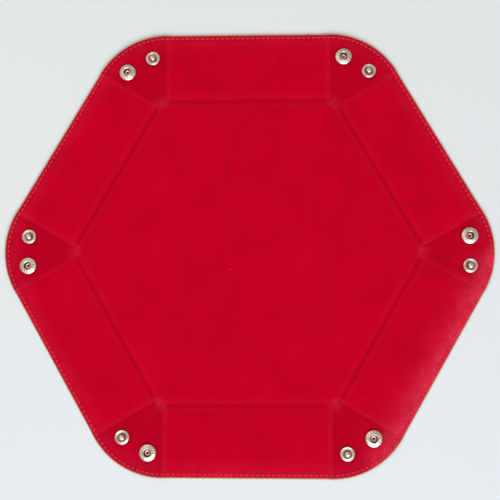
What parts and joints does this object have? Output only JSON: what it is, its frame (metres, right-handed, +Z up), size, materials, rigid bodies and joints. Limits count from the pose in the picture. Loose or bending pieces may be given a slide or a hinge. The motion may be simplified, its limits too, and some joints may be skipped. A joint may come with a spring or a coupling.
{
  "type": "folding dice tray",
  "caption": "Hexagonal velvet-lined dice tray, lying flat, whose stiffened walls fold up and snap together at the corners.",
  "frame": {"origin": "on the surface the tray lies on, under the middle of the base", "axes": "+Z up out of the tray, +X towards corner 1 and its snap, +Y across the flats towards wall 2"},
  "size_m": [0.2902, 0.264, 0.0048],
  "materials": {
    "velvet": "red cotton velvet with a short dense pile",
    "leather": "brown leather with a tan cut edge, fine pebble grain, satin",
    "stiffener": "grey pressed board",
    "snap_metal": "nickel plate, bright"
  },
  "bodies": {
    "base": {"base_board": "stiffener", "base_leather": "leather", "base_lining": "velvet"},
    "wall_1": {"wall_1_board": "stiffener", "wall_1_leather": "leather", "wall_1_lining": "velvet"},
    "wall_2": {"wall_2_board": "stiffener", "wall_2_leather": "leather", "wall_2_lining": "velvet"},
    "wall_3": {"wall_3_board": "stiffener", "wall_3_leather": "leather", "wall_3_lining": "velvet"},
    "wall_4": {"wall_4_board": "stiffener", "wall_4_leather": "leather", "wall_4_lining": "velvet"},
    "wall_5": {"wall_5_board": "stiffener", "wall_5_leather": "leather", "wall_5_lining": "velvet"},
    "wall_6": {"wall_6_board": "stiffener", "wall_6_leather": "leather", "wall_6_lining": "velvet"},
    "spine_1": {"corner_1_spine": "velvet"},
    "left_flank_1": {"corner_1_left_flank": "velvet", "corner_1_snap_socket": "snap_metal", "corner_1_snap_cap": "snap_metal"},
    "right_flank_1": {"corner_1_right_flank": "velvet", "corner_1_snap_stud": "snap_metal"},
    "spine_2": {"corner_2_spine": "velvet"},
    "left_flank_2": {"corner_2_left_flank": "velvet", "corner_2_snap_socket": "snap_metal", "corner_2_snap_cap": "snap_metal"},
    "right_flank_2": {"corner_2_right_flank": "velvet", "corner_2_snap_stud": "snap_metal"},
    "spine_3": {"corner_3_spine": "velvet"},
    "left_flank_3": {"corner_3_left_flank": "velvet", "corner_3_snap_socket": "snap_metal", "corner_3_snap_cap": "snap_metal"},
    "right_flank_3": {"corner_3_right_flank": "velvet", "corner_3_snap_stud": "snap_metal"},
    "spine_4": {"corner_4_spine": "velvet"},
    "left_flank_4": {"corner_4_left_flank": "velvet", "corner_4_snap_socket": "snap_metal", "corner_4_snap_cap": "snap_metal"},
    "right_flank_4": {"corner_4_right_flank": "velvet", "corner_4_snap_stud": "snap_metal"},
    "spine_5": {"corner_5_spine": "velvet"},
    "left_flank_5": {"corner_5_left_flank": "velvet", "corner_5_snap_socket": "snap_metal", "corner_5_snap_cap": "snap_metal"},
    "right_flank_5": {"corner_5_right_flank": "velvet", "corner_5_snap_stud": "snap_metal"},
    "spine_6": {"corner_6_spine": "velvet"},
    "left_flank_6": {"corner_6_left_flank": "velvet", "corner_6_snap_socket": "snap_metal", "corner_6_snap_cap": "snap_metal"},
    "right_flank_6": {"corner_6_right_flank": "velvet", "corner_6_snap_stud": "snap_metal"}
  },
  "joints": [
    {"name": "wall_1_fold", "type": "hinge", "parent": "base", "child": "wall_1", "pos_m": [0.07829, 0.0452, 0.0025], "axis": [0.5, -0.866, 0], "range_deg": [0, 90]},
    {"name": "wall_2_fold", "type": "hinge", "parent": "base", "child": "wall_2", "pos_m": [0, 0.0904, 0.0025], "axis": [1, 0, 0], "range_deg": [0, 90]},
    {"name": "wall_3_fold", "type": "hinge", "parent": "base", "child": "wall_3", "pos_m": [-0.07829, 0.0452, 0.0025], "axis": [0.5, 0.866, 0], "range_deg": [0, 90]},
    {"name": "wall_4_fold", "type": "hinge", "parent": "base", "child": "wall_4", "pos_m": [-0.07829, -0.0452, 0.0025], "axis": [-0.5, 0.866, 0], "range_deg": [0, 90]},
    {"name": "wall_5_fold", "type": "hinge", "parent": "base", "child": "wall_5", "pos_m": [0, -0.0904, 0.0025], "axis": [-1, 0, 0], "range_deg": [0, 90]},
    {"name": "wall_6_fold", "type": "hinge", "parent": "base", "child": "wall_6", "pos_m": [0.07829, -0.0452, 0.0025], "axis": [-0.5, -0.866, 0], "range_deg": [0, 90]},
    {"name": "spine_1_fold", "type": "hinge", "parent": "base", "child": "spine_1", "pos_m": [0.10353, 0, 0.0025], "axis": [0, -1, 0], "range_deg": [0, 60.01]},
    {"name": "left_flank_1_fold", "type": "hinge", "parent": "spine_1", "child": "left_flank_1", "pos_m": [0.10353, 0.00147, 0.0025], "axis": [1, 0, 0], "range_deg": [0, 90]},
    {"name": "right_flank_1_fold", "type": "hinge", "parent": "spine_1", "child": "right_flank_1", "pos_m": [0.10353, -0.00147, 0.0025], "axis": [-1, 0, 0], "range_deg": [0, 90]},
    {"name": "spine_2_fold", "type": "hinge", "parent": "base", "child": "spine_2", "pos_m": [0.05177, 0.08966, 0.0025], "axis": [0.866, -0.5, 0], "range_deg": [0, 60.01]},
    {"name": "left_flank_2_fold", "type": "hinge", "parent": "spine_2", "child": "left_flank_2", "pos_m": [0.05049, 0.0904, 0.0025], "axis": [0.5, 0.866, 0], "range_deg": [0, 90]},
    {"name": "right_flank_2_fold", "type": "hinge", "parent": "spine_2", "child": "right_flank_2", "pos_m": [0.05304, 0.08893, 0.0025], "axis": [-0.5, -0.866, 0], "range_deg": [0, 90]},
    {"name": "spine_3_fold", "type": "hinge", "parent": "base", "child": "spine_3", "pos_m": [-0.05177, 0.08966, 0.0025], "axis": [0.866, 0.5, 0], "range_deg": [0, 60.01]},
    {"name": "left_flank_3_fold", "type": "hinge", "parent": "spine_3", "child": "left_flank_3", "pos_m": [-0.05304, 0.08893, 0.0025], "axis": [-0.5, 0.866, 0], "range_deg": [0, 90]},
    {"name": "right_flank_3_fold", "type": "hinge", "parent": "spine_3", "child": "right_flank_3", "pos_m": [-0.05049, 0.0904, 0.0025], "axis": [0.5, -0.866, 0], "range_deg": [0, 90]},
    {"name": "spine_4_fold", "type": "hinge", "parent": "base", "child": "spine_4", "pos_m": [-0.10353, 0, 0.0025], "axis": [0, 1, 0], "range_deg": [0, 60.01]},
    {"name": "left_flank_4_fold", "type": "hinge", "parent": "spine_4", "child": "left_flank_4", "pos_m": [-0.10353, -0.00147, 0.0025], "axis": [-1, 0, 0], "range_deg": [0, 90]},
    {"name": "right_flank_4_fold", "type": "hinge", "parent": "spine_4", "child": "right_flank_4", "pos_m": [-0.10353, 0.00147, 0.0025], "axis": [1, 0, 0], "range_deg": [0, 90]},
    {"name": "spine_5_fold", "type": "hinge", "parent": "base", "child": "spine_5", "pos_m": [-0.05177, -0.08966, 0.0025], "axis": [-0.866, 0.5, 0], "range_deg": [0, 60.01]},
    {"name": "left_flank_5_fold", "type": "hinge", "parent": "spine_5", "child": "left_flank_5", "pos_m": [-0.05049, -0.0904, 0.0025], "axis": [-0.5, -0.866, 0], "range_deg": [0, 90]},
    {"name": "right_flank_5_fold", "type": "hinge", "parent": "spine_5", "child": "right_flank_5", "pos_m": [-0.05304, -0.08893, 0.0025], "axis": [0.5, 0.866, 0], "range_deg": [0, 90]},
    {"name": "spine_6_fold", "type": "hinge", "parent": "base", "child": "spine_6", "pos_m": [0.05177, -0.08966, 0.0025], "axis": [-0.866, -0.5, 0], "range_deg": [0, 60.01]},
    {"name": "left_flank_6_fold", "type": "hinge", "parent": "spine_6", "child": "left_flank_6", "pos_m": [0.05304, -0.08893, 0.0025], "axis": [0.5, -0.866, 0], "range_deg": [0, 90]},
    {"name": "right_flank_6_fold", "type": "hinge", "parent": "spine_6", "child": "right_flank_6", "pos_m": [0.05049, -0.0904, 0.0025], "axis": [-0.5, 0.866, 0], "range_deg": [0, 90]}
  ],
  "couplings": [
    {"joint": "wall_2_fold", "follows": "wall_1_fold", "ratio": 1},
    {"joint": "wall_3_fold", "follows": "wall_1_fold", "ratio": 1},
    {"joint": "wall_4_fold", "follows": "wall_1_fold", "ratio": 1},
    {"joint": "wall_5_fold", "follows": "wall_1_fold", "ratio": 1},
    {"joint": "wall_6_fold", "follows": "wall_1_fold", "ratio": 1},
    {"joint": "spine_1_fold", "follows": "wall_1_fold", "ratio": 0.66667},
    {"joint": "left_flank_1_fold", "follows": "wall_1_fold", "ratio": 1},
    {"joint": "right_flank_1_fold", "follows": "wall_1_fold", "ratio": 1},
    {"joint": "spine_2_fold", "follows": "wall_1_fold", "ratio": 0.66667},
    {"joint": "left_flank_2_fold", "follows": "wall_1_fold", "ratio": 1},
    {"joint": "right_flank_2_fold", "follows": "wall_1_fold", "ratio": 1},
    {"joint": "spine_3_fold", "follows": "wall_1_fold", "ratio": 0.66667},
    {"joint": "left_flank_3_fold", "follows": "wall_1_fold", "ratio": 1},
    {"joint": "right_flank_3_fold", "follows": "wall_1_fold", "ratio": 1},
    {"joint": "spine_4_fold", "follows": "wall_1_fold", "ratio": 0.66667},
    {"joint": "left_flank_4_fold", "follows": "wall_1_fold", "ratio": 1},
    {"joint": "right_flank_4_fold", "follows": "wall_1_fold", "ratio": 1},
    {"joint": "spine_5_fold", "follows": "wall_1_fold", "ratio": 0.66667},
    {"joint": "left_flank_5_fold", "follows": "wall_1_fold", "ratio": 1},
    {"joint": "right_flank_5_fold", "follows": "wall_1_fold", "ratio": 1},
    {"joint": "spine_6_fold", "follows": "wall_1_fold", "ratio": 0.66667},
    {"joint": "left_flank_6_fold", "follows": "wall_1_fold", "ratio": 1},
    {"joint": "right_flank_6_fold", "follows": "wall_1_fold", "ratio": 1}
  ]
}
